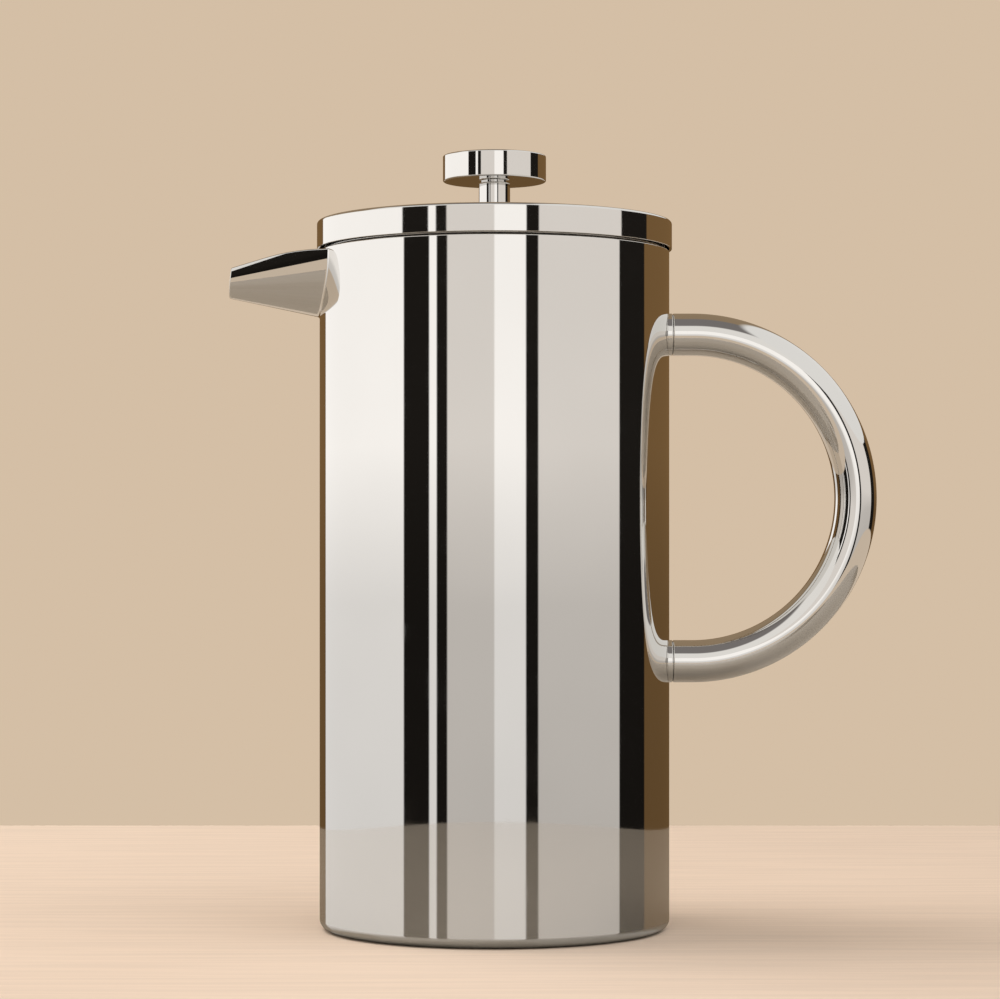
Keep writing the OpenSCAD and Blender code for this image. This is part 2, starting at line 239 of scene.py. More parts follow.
def grid_faces(rows, columns, wrap_rows=False, wrap_columns=False, offset=0, flip=False):
    faces = []
    for i in range(rows if wrap_rows else rows - 1):
        for j in range(columns if wrap_columns else columns - 1):
            a = offset + i * columns + j
            b = offset + i * columns + (j + 1) % columns
            c = offset + (i + 1) % rows * columns + (j + 1) % columns
            d = offset + (i + 1) % rows * columns + j
            faces.append((a, d, c, b) if flip else (a, b, c, d))
    return faces


def unit(v):
    return v / np.linalg.norm(v, axis=-1, keepdims=True)


def finish_piece(piece, body, nodes, look):
    """Material, body and the CAD nodes that the piece stands for."""
    piece.data.materials.clear()
    piece.data.materials.append(look)
    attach(piece, body)
    if nodes:
        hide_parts(*nodes)
    return piece


# ---------------------------------------------------------------- materials

class Nodes:
    """Short helpers for one material's node tree."""

    def __init__(self, name):
        self.material = bpy.data.materials.new(name)
        self.material.use_nodes = True
        self.tree = self.material.node_tree
        self.shader = self.tree.nodes["Principled BSDF"]
        self.where = self.add("ShaderNodeTexCoord").outputs["Object"]

    def add(self, kind, **settings):
        node = self.tree.nodes.new(kind)
        for key, value in settings.items():
            setattr(node, key, value)
        return node

    def link(self, source, target):
        self.tree.links.new(source, target)

    def put(self, node, name, value):
        socket = node.inputs[name]
        if isinstance(value, bpy.types.NodeSocket):
            self.link(value, socket)
        else:
            socket.default_value = value

    def math(self, operation, a, b=0.0):
        node = self.add("ShaderNodeMath", operation=operation)
        self.put(node, 0, a)
        self.put(node, 1, b)
        return node.outputs[0]

    def parts(self):
        node = self.add("ShaderNodeSeparateXYZ")
        self.link(self.where, node.inputs[0])
        return node.outputs["X"], node.outputs["Y"], node.outputs["Z"]

    def vector(self, x, y, z):
        node = self.add("ShaderNodeCombineXYZ")
        for key, value in zip("XYZ", (x, y, z)):
            self.put(node, key, value)
        return node.outputs[0]

    def noise(self, scale, detail=3.0, at=None, distortion=0.0):
        node = self.add("ShaderNodeTexNoise")
        self.link(at or self.where, node.inputs["Vector"])
        node.inputs["Scale"].default_value = scale
        node.inputs["Detail"].default_value = detail
        node.inputs["Distortion"].default_value = distortion
        return node.outputs["Fac"]

    def ramp(self, value, low, high, out_low, out_high):
        node = self.add("ShaderNodeMapRange", interpolation_type="SMOOTHSTEP")
        for key, x in (("Value", value), ("From Min", low), ("From Max", high),
                       ("To Min", out_low), ("To Max", out_high)):
            self.put(node, key, x)
        return node.outputs[0]

    def mix(self, factor, a, b, blend="MIX"):
        node = self.add("ShaderNodeMix", data_type="RGBA", blend_type=blend)
        self.put(node, 0, factor)
        for socket, value in ((node.inputs[6], a), (node.inputs[7], b)):
            if isinstance(value, bpy.types.NodeSocket):
                self.link(value, socket)
            else:
                socket.default_value = (*value, 1.0)
        return node.outputs[2]

    def bump(self, height, distance, after=None):
        node = self.add("ShaderNodeBump")
        node.inputs["Strength"].default_value = 1.0
        node.inputs["Distance"].default_value = distance
        self.link(height, node.inputs["Height"])
        if after is not None:
            self.link(after, node.inputs["Normal"])
        return node.outputs["Normal"]


def steel(name, colour, shade, rough, rough_more, line_scale, line_depth, wave_depth, smudge=0.0):
    """Polished or brushed steel: turning lines around the axis, soft waves, smudges and fine wear."""
    n = Nodes(name)
    x, y, z = n.parts()
    radius = n.math("SQRT", n.math("ADD", n.math("MULTIPLY", x, x), n.math("MULTIPLY", y, y)))
    lines_at = n.vector(n.math("MULTIPLY", radius, line_scale), n.math("MULTIPLY", x, 2.0),
                        n.math("MULTIPLY", z, line_scale))
    lines = n.noise(1.0, 4.0, lines_at)
    broad = n.noise(18.0, 2.0)
    patches = n.noise(55.0, 5.0, distortion=0.6)
    specks = n.noise(2400.0, 2.0)
    tone = n.ramp(broad, 0.35, 0.65, 0.0, 1.0)
    base = n.mix(tone, colour, shade)
    worn = n.ramp(specks, 0.66, 0.78, 0.0, 0.10)
    base = n.mix(worn, base, tuple(0.8 * c for c in shade))
    n.link(base, n.shader.inputs["Base Color"])
    gloss = n.ramp(patches, 0.42, 0.72, rough, rough + rough_more)
    gloss = n.math("ADD", gloss, n.ramp(lines, 0.35, 0.7, 0.0, rough_more * 0.5))
    if smudge > 0:
        touch = n.noise(26.0, 6.0, distortion=1.4)
        gloss = n.math("ADD", gloss, n.ramp(touch, 0.60, 0.74, 0.0, smudge))
    n.link(gloss, n.shader.inputs["Roughness"])
    n.shader.inputs["Metallic"].default_value = 1.0
    waves = n.bump(n.noise(22.0, 1.0), wave_depth)
    n.link(n.bump(lines, line_depth, waves), n.shader.inputs["Normal"])
    return n.material


def woven_mesh():
    """Fine woven wire: warp and weft threads that pass over and under, with painted shade in the gaps,
    near black in place of open holes.
    """
    n = Nodes("woven_wire")
    thread = 0.5 * MM
    x, y, z = n.parts()
    turn = 2 * math.pi / thread
    across = n.math("SINE", n.math("MULTIPLY", x, turn))
    along = n.math("SINE", n.math("MULTIPLY", y, turn))
    upward = n.math("SINE", n.math("MULTIPLY", z, turn))
    over = n.math("MULTIPLY", across, along)
    weave = n.math("ADD", n.math("MULTIPLY", over, upward), over)
    height = n.ramp(n.math("ABSOLUTE", weave), 0.0, 1.0, 0.0, 1.0)
    tone = n.noise(160.0, 3.0)
    lit = n.mix(n.ramp(tone, 0.35, 0.65, 0.0, 1.0), (0.60, 0.59, 0.57), (0.48, 0.47, 0.45))
    # painted shade: where the weave is low, between the threads, the colour goes to near black
    base = n.mix(n.ramp(height, 0.02, 0.25, 0.0, 1.0), (0.03, 0.03, 0.03), lit)
    n.link(base, n.shader.inputs["Base Color"])
    n.link(n.ramp(n.noise(90.0, 4.0), 0.3, 0.7, 0.28, 0.42), n.shader.inputs["Roughness"])
    n.shader.inputs["Metallic"].default_value = 1.0
    n.link(n.bump(height, 0.06 * MM), n.shader.inputs["Normal"])
    return n.material


POLISHED = steel("polished_steel", (0.82, 0.805, 0.78), (0.80, 0.785, 0.76), 0.018, 0.022,
                 9000.0, 0.00002 * MM, 0.006 * MM, 0.03)
LINER = steel("liner_steel", (0.66, 0.65, 0.63), (0.60, 0.59, 0.57), 0.24, 0.08,
              14000.0, 0.0025 * MM, 0.002 * MM, 0.06)
ROD = steel("rod_steel", (0.74, 0.73, 0.71), (0.70, 0.69, 0.67), 0.07, 0.06,
            12000.0, 0.0004 * MM, 0.002 * MM, 0.04)
SCREEN = steel("screen_steel", (0.68, 0.67, 0.65), (0.62, 0.61, 0.59), 0.16, 0.10,
               9000.0, 0.001 * MM, 0.004 * MM, 0.06)
SPRING = steel("spring_steel", (0.62, 0.61, 0.60), (0.54, 0.53, 0.52), 0.20, 0.10,
               7000.0, 0.0008 * MM, 0.002 * MM)
WOVEN = woven_mesh()


# ---------------------------------------------------------------- spout

SPOUT_TILT = math.radians(11)
SPOUT_ROOT_R = 17.9 * MM
SPOUT_TIP_R = 5.9 * MM
SPOUT_EDGE_R = 65.0 * MM
SPOUT_SLOPE = math.radians(14)
SPOUT_LEAN = math.radians(6.5)
SPOUT_DROP = 2.7 * MM
SPOUT_REACH = 26.9 * MM
SPOUT_EDGE_Z = SPOUT_HI.z
SPOUT_LEN = SPOUT_REACH / math.cos(SPOUT_TILT) + SPOUT_TIP_R * math.tan(SPOUT_TILT)
SPOUT_TAPER = (SPOUT_ROOT_R - SPOUT_TIP_R) / SPOUT_LEN
SPOUT_ROOT = np.array([-BODY_R, 0.0, RIM_Z - SPOUT_DROP])
SPOUT_WAY = np.array([-math.cos(SPOUT_TILT), 0.0, -math.sin(SPOUT_TILT)])
SPOUT_DOWN = np.array([math.sin(SPOUT_TILT), 0.0, -math.cos(SPOUT_TILT)])
SIDE = np.array([0.0, 1.0, 0.0])
SPOUT_WALL = SHEET * math.sqrt(1 + SPOUT_TAPER ** 2)


def cone_point(s, angle, inset=0.0):
    """Point of the trough's cone and its outward normal, s along the axis from the body's side."""
    radial = math.cos(angle) * SPOUT_DOWN + math.sin(angle) * SIDE
    place = SPOUT_ROOT + s * SPOUT_WAY + (SPOUT_ROOT_R - SPOUT_TAPER * s - inset) * radial
    normal = radial + SPOUT_TAPER * SPOUT_WAY
    return place, normal / np.linalg.norm(normal)


def spout_edge_z(place):
    """Height of the trough's edges: level over the walls, then a curve, then a straight slope."""
    run = -BODY_R - place[0]
    bend = SPOUT_EDGE_R * math.sin(SPOUT_SLOPE)
    if run <= 0:
        return SPOUT_EDGE_Z
    if run < bend:
        return SPOUT_EDGE_Z - SPOUT_EDGE_R + math.sqrt(SPOUT_EDGE_R ** 2 - run ** 2)
    drop = SPOUT_EDGE_R * (1 - math.cos(SPOUT_SLOPE))
    return SPOUT_EDGE_Z - drop - (run - bend) * math.tan(SPOUT_SLOPE)


def find_edge_angle(s):
    """Angle of the trough's edge at s, so that its rounded lip ends at the side outline."""
    low, high = math.radians(40), math.radians(170)
    for _ in range(40):
        middle = (low + high) / 2
        place, _ = cone_point(s, middle, SPOUT_WALL / 2)
        rise = -math.sin(middle) * SPOUT_DOWN[2] + math.cos(middle) * SIDE[2]
        if place[2] + SHEET / 2 * abs(rise) < spout_edge_z(place):
            low = middle
        else:
            high = middle
    return low


EDGE_STEPS = np.linspace(-14 * MM, SPOUT_LEN + 6 * MM, 480)
EDGE_ANGLES = [find_edge_angle(s) for s in EDGE_STEPS]


def edge_angle(s):
    return float(np.interp(s, EDGE_STEPS, EDGE_ANGLES))


def run_until(inside, low, high):
    """Largest s from low to high with inside(s) true."""
    for _ in range(40):
        middle = (low + high) / 2
        if inside(middle):
            low = middle
        else:
            high = middle
    return low


def spout_ends(v):
    """Where a trough line starts, inside the walls, and ends, at the leaning tip face."""
    root_x = -BODY_R - SPOUT_REACH
    root_z = RIM_Z - SPOUT_DROP - SPOUT_ROOT_R / 2

    def before_tip(s):
        place, _ = cone_point(s, v * edge_angle(s), SPOUT_WALL / 2)
        limit = root_x + (place[2] - root_z) * math.tan(SPOUT_LEAN) + SHEET / 2
        return place[0] > limit

    def in_wall(s):
        place, _ = cone_point(s, v * edge_angle(s), SPOUT_WALL / 2)
        return math.hypot(place[0], place[1]) < LINER_R + 0.6 * MM

    return run_until(in_wall, -0.012, 0.01), run_until(before_tip, 0.01, SPOUT_LEN + 0.004)


def build_spout():
    rows, columns = 96, 97
    middle = np.zeros((rows, columns, 3))
    normal = np.zeros((rows, columns, 3))
    for j in range(columns):
        v = 2 * j / (columns - 1) - 1
        start, end = spout_ends(v)
        for i in range(rows):
            s = start + (end - start) * i / (rows - 1)
            middle[i, j], normal[i, j] = cone_point(s, v * edge_angle(s), SPOUT_WALL / 2)
    rim = [(i, 0) for i in range(rows)] + [(rows - 1, j) for j in range(1, columns)]
    rim += [(i, columns - 1) for i in range(rows - 2, -1, -1)]
    rim += [(0, j) for j in range(columns - 2, 0, -1)]
    half = SHEET / 2
    verts = [p for p in (middle + half * normal).reshape(-1, 3)]
    verts += [p for p in (middle - half * normal).reshape(-1, 3)]
    normals = [p for p in normal.reshape(-1, 3)] + [p for p in (-normal).reshape(-1, 3)]
    size = rows * columns
    faces = grid_faces(rows, columns, flip=True) + grid_faces(rows, columns, offset=size)
    path = np.array([middle[i, j] for i, j in rim])
    path_normal = np.array([normal[i, j] for i, j in rim])
    along = unit(np.roll(path, -1, 0) - np.roll(path, 1, 0))
    outward = unit(np.cross(along, path_normal))
    inner_point = middle[rows // 2, columns // 2]
    if (outward[rows // 2] @ (path[rows // 2] - inner_point)) < 0:
        outward = -outward
    steps = 6
    first = len(verts)
    for k in range(1, steps):
        a = math.pi * k / steps
        ring_normal = math.cos(a) * path_normal + math.sin(a) * outward
        verts += [p for p in path + half * ring_normal]
        normals += [p for p in ring_normal]
    count = len(rim)
    top = [i * columns + j for i, j in rim]
    rings = [top] + [[first + k * count + i for i in range(count)] for k in range(steps - 1)]
    rings.append([size + t for t in top])
    for near, far in zip(rings, rings[1:]):
        for i in range(count):
            j = (i + 1) % count
            faces.append((near[i], far[i], far[j], near[j]))
    return add_mesh("spout_trough", verts, faces, vertex_normals=normals)


def build_spout_weld():
    """Small concave fillet where the trough leaves the body."""
    weld_r = 1.1 * MM
    columns, steps = 121, 8
    points, normals = [], []
    for j in range(columns):
        v = 2 * j / (columns - 1) - 1

        def inside_body(s):
            place, _ = cone_point(s, v * edge_angle(s))
            return math.hypot(place[0], place[1]) < BODY_R

        s = run_until(inside_body, -0.011, 0.012)
        place, cone_normal = cone_point(s, v * edge_angle(s))
        wall_normal = np.array([place[0], place[1], 0.0]) / math.hypot(place[0], place[1])
        centre = place + weld_r / (1 + cone_normal @ wall_normal) * (cone_normal + wall_normal)
        angle = math.acos(cone_normal @ wall_normal)
        for k in range(steps + 1):
            t = k / steps
            blend = (math.sin((1 - t) * angle) * cone_normal + math.sin(t * angle) * wall_normal)
            blend /= math.sin(angle)
            points.append(centre - weld_r * blend)
            normals.append(blend)
    faces = grid_faces(columns, steps + 1, flip=True)
    return add_mesh("spout_weld", points, faces, vertex_normals=normals)


def spout_cutter():
    """The trough's cone, longer at the body's end, that cuts the notches in both walls."""
    around = 160
    start, end = -0.012, 0.020
    verts = []
    for s in (start, end):
        for k in range(around):
            place, _ = cone_point(s, 2 * math.pi * k / around, 0.02 * MM)
            verts.append(tuple(place))
    faces = [(k, (k + 1) % around, around + (k + 1) % around, around + k) for k in range(around)]
    faces += [tuple(range(around - 1, -1, -1)), tuple(range(around, 2 * around))]
    mesh = bpy.data.meshes.new("notch")
    mesh.from_pydata(verts, [], faces)
    cutter = bpy.data.objects.new("notch", mesh)
    bpy.context.scene.collection.objects.link(cutter)
    return cutter


# ---------------------------------------------------------------- carafe

def build_shell():
    foot_r = BODY_R - 8 * MM
    inner = SHEET
    piece, edges = lathe("shell_wall", [
        (foot_r, BASE_Z, 0.3 * MM),
        (BODY_R, BASE_Z, 3.0 * MM),
        (BODY_R, RIM_Z, 0.45 * MM),
        (LINER_OUT_R, RIM_Z),
        (LINER_OUT_R, RIM_Z - inner),
        (SHELL_IN_R, RIM_Z - inner, 0.3 * MM),
        (SHELL_IN_R, BASE_Z + inner, 2.2 * MM),
        (foot_r, BASE_Z + inner, 0.3 * MM),
    ], around=512, steps=8)
    return carve(piece, edges, [spout_cutter()])


def build_liner():
    piece, edges = lathe("liner_cup", [
        (0, LINER_LOW_Z),
        (LINER_OUT_R, LINER_LOW_Z, 7.8 * MM),
        (LINER_OUT_R, RIM_Z),
        (LINER_R, RIM_Z, 0.3 * MM),
        (LINER_R, FLOOR_Z, 7.0 * MM),
        (0, FLOOR_Z),
    ], around=384, steps=12)
    return carve(piece, edges, [spout_cutter()])


def build_base_cover():
    dish_r = COVER_R - 8 * MM
    piece, _ = lathe("base_dish", [
        (0, COVER_TOP_Z - SHEET),
        (dish_r - 0.8 * MM, COVER_TOP_Z - SHEET, 1.0 * MM),
        (dish_r, COVER_LOW_Z, 0.8 * MM),
        (COVER_R, COVER_LOW_Z, 0.3 * MM),
        (COVER_R, COVER_LOW_Z + SHEET, 0.3 * MM),
        (dish_r + SHEET, COVER_LOW_Z + SHEET, 0.8 * MM),
        (dish_r, COVER_TOP_Z, 0.8 * MM),
        (0, COVER_TOP_Z),
    ], around=256)
    return piece


# ---------------------------------------------------------------- handle

TUBE_R = TUBE_HI.y
LEG_START = TUBE_LO.x
UPPER_Z = TUBE_HI.z - TUBE_R
LOWER_Z = TUBE_LO.z + TUBE_R
HANDLE_R = (UPPER_Z - LOWER_Z) / 2
HANDLE_Z = (UPPER_Z + LOWER_Z) / 2
HANDLE_X = TUBE_HI.x - TUBE_R - HANDLE_R


def build_handle():
    """Half-ring tube with straight legs and softly rounded tube ends, skinned along its path."""
    around, bend_steps, edge_steps, leg_steps = 128, 240, 6, 4
    edge = 0.35 * MM
    stations = []

    def leg(x, radius, tilt):
        stations.append((np.array([x, 0, UPPER_Z]), np.array([1.0, 0, 0]), radius, tilt))

    for k in reversed(range(edge_steps + 1)):
        a = math.pi / 2 * k / edge_steps
        leg(LEG_START + edge * (1 - math.sin(a)), TUBE_R - edge * (1 - math.cos(a)), a)
    for k in range(leg_steps):
        leg(LEG_START + edge + (HANDLE_X - LEG_START - edge) * (k + 1) / leg_steps, TUBE_R, 0.0)
    for k in range(1, bend_steps):
        a = math.pi / 2 - math.pi * k / bend_steps
        centre = np.array([HANDLE_X + HANDLE_R * math.cos(a), 0, HANDLE_Z + HANDLE_R * math.sin(a)])
        stations.append((centre, np.array([math.sin(a), 0, -math.cos(a)]), TUBE_R, 0.0))
    mirrored = []
    for centre, way, radius, tilt in stations[:edge_steps + 1 + leg_steps][::-1]:
        low = np.array([centre[0], 0, LOWER_Z + UPPER_Z - centre[2]])
        mirrored.append((low, np.array([-1.0, 0, 0]), radius, -tilt))
    stations += mirrored
    verts, normals = [], []
    for centre, way, radius, tilt in stations:
        side = np.cross(way, SIDE)
        for k in range(around):
            a = 2 * math.pi * k / around
            spoke = math.cos(a) * SIDE + math.sin(a) * side
            verts.append(centre + radius * spoke)
            normals.append(math.cos(tilt) * spoke - math.sin(tilt) * way)
    faces = grid_faces(len(stations), around, wrap_columns=True)
    piece = add_mesh("handle_ring", verts, faces, vertex_normals=normals)
    return piece


def build_boss(name, node, height):
    """Collar saddled onto the body, with its plug inside the tube, turned about a level axis."""
    _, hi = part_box(node)
    around = 128
    edge = 0.28 * MM
    plug_r = TUBE_R - 1.0 * MM
    hollow_r = 3.0 * MM
    outline = [("saddle", TUBE_R, 1.0, 0.0)]
    face_x = LEG_START - 0.16 * MM
    steps = 5
    for k in range(steps + 1):
        a = math.pi / 2 * k / steps
        outline.append((face_x - edge * (1 - math.sin(a)), TUBE_R - edge * (1 - math.cos(a)),
                        math.cos(a), math.sin(a)))
    outline += [(face_x, plug_r, 0.0, 1.0), (face_x, plug_r, 1.0, 0.0), (hi.x, plug_r, 1.0, 0.0),
                (hi.x, plug_r, 0.0, 1.0), (hi.x, hollow_r, 0.0, 1.0), (hi.x, hollow_r, -1.0, 0.0),
                (face_x, hollow_r, -1.0, 0.0), (face_x, hollow_r, 0.0, 1.0), (face_x, 0.0, 0.0, 1.0)]
    verts, normals = [], []
    for x, r, radial, forward in outline:
        for k in range(around):
            a = 2 * math.pi * k / around
            y, z = r * math.cos(a), height + r * math.sin(a)
            along = math.sqrt(BODY_R ** 2 - y ** 2) - 0.2 * MM if x == "saddle" else x
            verts.append((along, y, z))
            normals.append((forward, radial * math.cos(a), radial * math.sin(a)))
    faces = grid_faces(len(outline), around, wrap_columns=True)
    faces = [f for f in faces if verts[f[0]] != verts[f[3]]]
    return add_mesh(name, verts, faces, vertex_normals=normals)


# ---------------------------------------------------------------- lid

BORE_R = ROD_R + 0.05 * MM
BUSH_R = 4.0 * MM
PAN_BORE_R = BUSH_R + 0.05 * MM


def build_lid_cover():
    edge = 0.85 * MM
    piece, _ = lathe("lid_cap", [
        (PAN_BORE_R, LID_TOP, 0.2 * MM),
        (PAN_BORE_R, LID_TOP - SHEET, 0.2 * MM),
        (LID_R - SHEET, LID_TOP - SHEET, 0.3 * MM),
        (LID_R - SHEET, SKIRT_Z, 0.3 * MM),
        (LID_R, SKIRT_Z, 0.15 * MM),
        (LID_R, LID_TOP, edge),
    ], around=512, steps=8)
    return piece


def build_lid_pan():
    ring_in_r = RING_R - SHEET
    wall_r = ring_in_r - SHEET
    ledge_top = RING_TOP_Z + SHEET
    piece, _ = lathe("lid_tray", [
        (PAN_BORE_R, PAN_FLOOR_Z, 0.15 * MM),
        (ring_in_r, PAN_FLOOR_Z, 0.7 * MM),
        (ring_in_r, RING_TOP_Z, 0.15 * MM),
        (LEDGE_R, RING_TOP_Z, 0.7 * MM),
        (LEDGE_R, PAN_TOP_Z, 0.15 * MM),
        (LEDGE_R - SHEET, PAN_TOP_Z, 0.15 * MM),
        (LEDGE_R - SHEET, ledge_top, 0.3 * MM),
        (wall_r, ledge_top, 0.5 * MM),
        (wall_r, PAN_FLOOR_Z + SHEET, 0.3 * MM),
        (PAN_BORE_R, PAN_FLOOR_Z + SHEET, 0.15 * MM),
    ])
    return piece


def build_strainer():
    """Ring that hangs into the mouth, with upright round-ended slots on the spout's side."""
    slot_w, slot_h, count = 2.0 * MM, 11.0 * MM, 9
    pitch = math.radians(4.6)
    middle_z = (RING_LOW_Z + PAN_FLOOR_Z) / 2
    ring_in_r = RING_R - SHEET
    piece, edges = lathe("strainer_band", [
        (ring_in_r, RING_LOW_Z, 0.25 * MM),
        (RING_R, RING_LOW_Z, 0.25 * MM),
        (RING_R, RING_TOP_Z, 0.25 * MM),
        (ring_in_r, RING_TOP_Z, 0.25 * MM),
    ])
    verts, faces = [], []
    round_steps = 12
    for i in range(count):
        turn = math.pi + (i - (count - 1) / 2) * pitch
        way = np.array([math.cos(turn), math.sin(turn), 0.0])
        side = np.array([-math.sin(turn), math.cos(turn), 0.0])
        outline = [(math.cos(a) * slot_w / 2, math.copysign((slot_h - slot_w) / 2, math.sin(a))
                    + math.sin(a) * slot_w / 2)
                   for a in [math.pi * (k + 0.5) / round_steps for k in range(2 * round_steps)]]
        base = len(verts)
        size = len(outline)
        for r in (ring_in_r - 2 * MM, RING_R + 2 * MM):
            for across, up in outline:
                verts.append(tuple(way * r + side * across + UP * (middle_z + up)))
        faces += [(base + k, base + (k + 1) % size, base + size + (k + 1) % size, base + size + k)
                  for k in range(size)]
        faces += [tuple(base + k for k in range(size - 1, -1, -1)),
                  tuple(base + size + k for k in range(size))]
    mesh = bpy.data.meshes.new("slots")
    mesh.from_pydata(verts, [], faces)
    cutter = bpy.data.objects.new("slots", mesh)
    bpy.context.scene.collection.objects.link(cutter)
    return carve(piece, edges, [cutter])


def build_bush():
    clip_lo, clip_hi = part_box("bush_clip")
    flange_z = LID_TOP + 0.05 * MM
    groove_r = BUSH_R - 0.6 * MM
    piece, _ = lathe("bush_sleeve", [
        (BORE_R, BUSH_LOW_Z, 0.2 * MM),
        (BUSH_R, BUSH_LOW_Z, 0.4 * MM),
        (BUSH_R, clip_lo.z, 0.08 * MM),
        (groove_r, clip_lo.z),
        (groove_r, clip_hi.z),
        (BUSH_R, clip_hi.z, 0.08 * MM),
        (BUSH_R, flange_z),
        (FLANGE_R, flange_z, 0.2 * MM),
        (FLANGE_R, FLANGE_TOP_Z, 0.45 * MM),
        (BORE_R, FLANGE_TOP_Z, 0.2 * MM),
    ], around=160)
    return piece


def build_clip():
    """Open spring clip: a flat ring with a gap, with softened edges and ends that narrow."""
    clip_lo, clip_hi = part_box("bush_clip")
    groove_r = BUSH_R - 0.6 * MM
    outer_r = -clip_lo.x
    edge = 0.12 * MM
    gap = math.asin(0.6) + 0.02
    columns = 96
    outline = [(groove_r, clip_lo.z, edge), (outer_r, clip_lo.z, edge),
               (outer_r, clip_hi.z, edge), (groove_r, clip_hi.z, edge)]
    ring = section(outline, 3)
    middle_r = (groove_r + outer_r) / 2
    verts, normals = [], []
    for j in range(columns):
        t = j / (columns - 1)
        a = gap + (2 * math.pi - 2 * gap) * t
        end = min(t, 1 - t) * (columns - 1)
        pinch = math.sin(math.pi / 2 * min(end / 4, 1.0)) * 0.5 + 0.5
        for p, _, n, _ in ring:
            r = middle_r + (p[0] - middle_r) * pinch
            verts.append((r * math.cos(a), r * math.sin(a), p[1]))
            normals.append((n[0] * math.cos(a), n[0] * math.sin(a), n[1]))
    size = len(ring)
    faces = grid_faces(columns, size, wrap_columns=True, flip=True)
    faces += [tuple(range(size)), tuple(range(columns * size - 1, (columns - 1) * size - 1, -1))]
    piece = add_mesh("bush_ring_clip", verts, faces, vertex_normals=normals)
    return piece


# ---------------------------------------------------------------- plunger

def build_knob():
    edge = 0.45 * MM
    piece, _ = lathe("knob_disc", [
        (ROD_R, KNOB_LOW_Z),
        (KNOB_R, KNOB_LOW_Z, edge),
        (KNOB_R, KNOB_TOP_Z, edge),
        (0, KNOB_TOP_Z),
        (0, ROD_TOP_Z),
        (ROD_R, ROD_TOP_Z),
    ], around=384, steps=10)
    return piece


def build_neck():
    """Round sleeve with a shoulder and a narrower throat under the knob."""
    shoulder_z = NECK_TOP_Z - 0.4 * MM
    throat_r = NECK_R - 0.6 * MM
    piece, _ = lathe("neck_sleeve", [
        (ROD_R, NECK_LOW_Z),
        (NECK_R, NECK_LOW_Z, 0.4 * MM),
        (NECK_R, shoulder_z, 0.45 * MM),
        (throat_r, shoulder_z, 0.1 * MM),
        (throat_r, NECK_TOP_Z),
        (ROD_R, NECK_TOP_Z),
    ], around=192)
    return piece


def build_rod():
    piece, _ = lathe("rod_bar", [
        (0, ROD_LOW_Z),
        (ROD_R, ROD_LOW_Z, 0.4 * MM),
        (ROD_R, ROD_TOP_Z),
        (0, ROD_TOP_Z),
    ], around=128)
    return piece


def build_hub():
    bore_r = 4.1 * MM
    cone_h = 3.5 * MM
    _, boss_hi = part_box("cross_hub")
    bore_top = boss_hi.z + 0.1 * MM
    piece, _ = lathe("hub_sleeve", [
        (bore_r, HUB_LOW_Z, 0.15 * MM),
        (HUB_R, HUB_LOW_Z, 0.4 * MM),
        (HUB_R, HUB_TOP_Z - cone_h, 0.8 * MM),
        (ROD_R + SHEET, HUB_TOP_Z, 0.4 * MM),
        (ROD_R, HUB_TOP_Z),
        (ROD_R, bore_top),
        (bore_r, bore_top),
    ], around=160)
    return piece


# ---------------------------------------------------------------- screens

EYELET_BARREL_R = 4.9 * MM
SPIRAL_HOLE_R = 4.1 * MM
DRAIN_R = 1.7 * MM
DRAIN_RINGS = ((12.5 * MM, 9), (19.0 * MM, 14), (25.5 * MM, 20), (32.0 * MM, 26))


def build_spiral_plate():
    """Plate over the mesh: rings of drain holes and a turned-up edge."""
    top = SPIRAL_Z + SHEET
    piece, edges = lathe("drain_plate", [
        (SPIRAL_HOLE_R, SPIRAL_Z, 0.1 * MM),
        (SPIRAL_R, SPIRAL_Z, 0.8 * MM),
        (SPIRAL_R, SPIRAL_LIP_Z, 0.3 * MM),
        (SPIRAL_R - SHEET, SPIRAL_LIP_Z, 0.3 * MM),
        (SPIRAL_R - SHEET, top, 0.4 * MM),
        (SPIRAL_HOLE_R, top, 0.1 * MM),
    ], around=256)
    verts, faces = [], []
    around = 24
    for ring_r, count in DRAIN_RINGS:
        for i in range(count):
            turn = (i + ring_r / MM / 4) * 2 * math.pi / count
            centre = ring_r * SPIRAL_R / (42 * MM)
            x, y = centre * math.cos(turn), centre * math.sin(turn)
            base = len(verts)
            for z in (SPIRAL_Z - MM, top + MM):
                for k in range(around):
                    a = 2 * math.pi * k / around
                    verts.append((x + DRAIN_R * math.cos(a), y + DRAIN_R * math.sin(a), z))
            faces += [(base + k, base + (k + 1) % around, base + around + (k + 1) % around,
                       base + around + k) for k in range(around)]
            faces += [tuple(base + k for k in range(around - 1, -1, -1)),
                      tuple(base + around + k for k in range(around))]
    mesh = bpy.data.meshes.new("drains")
    mesh.from_pydata(verts, [], faces)
    cutter = bpy.data.objects.new("drains", mesh)
    bpy.context.scene.collection.objects.link(cutter)
    return carve(piece, edges, [cutter])


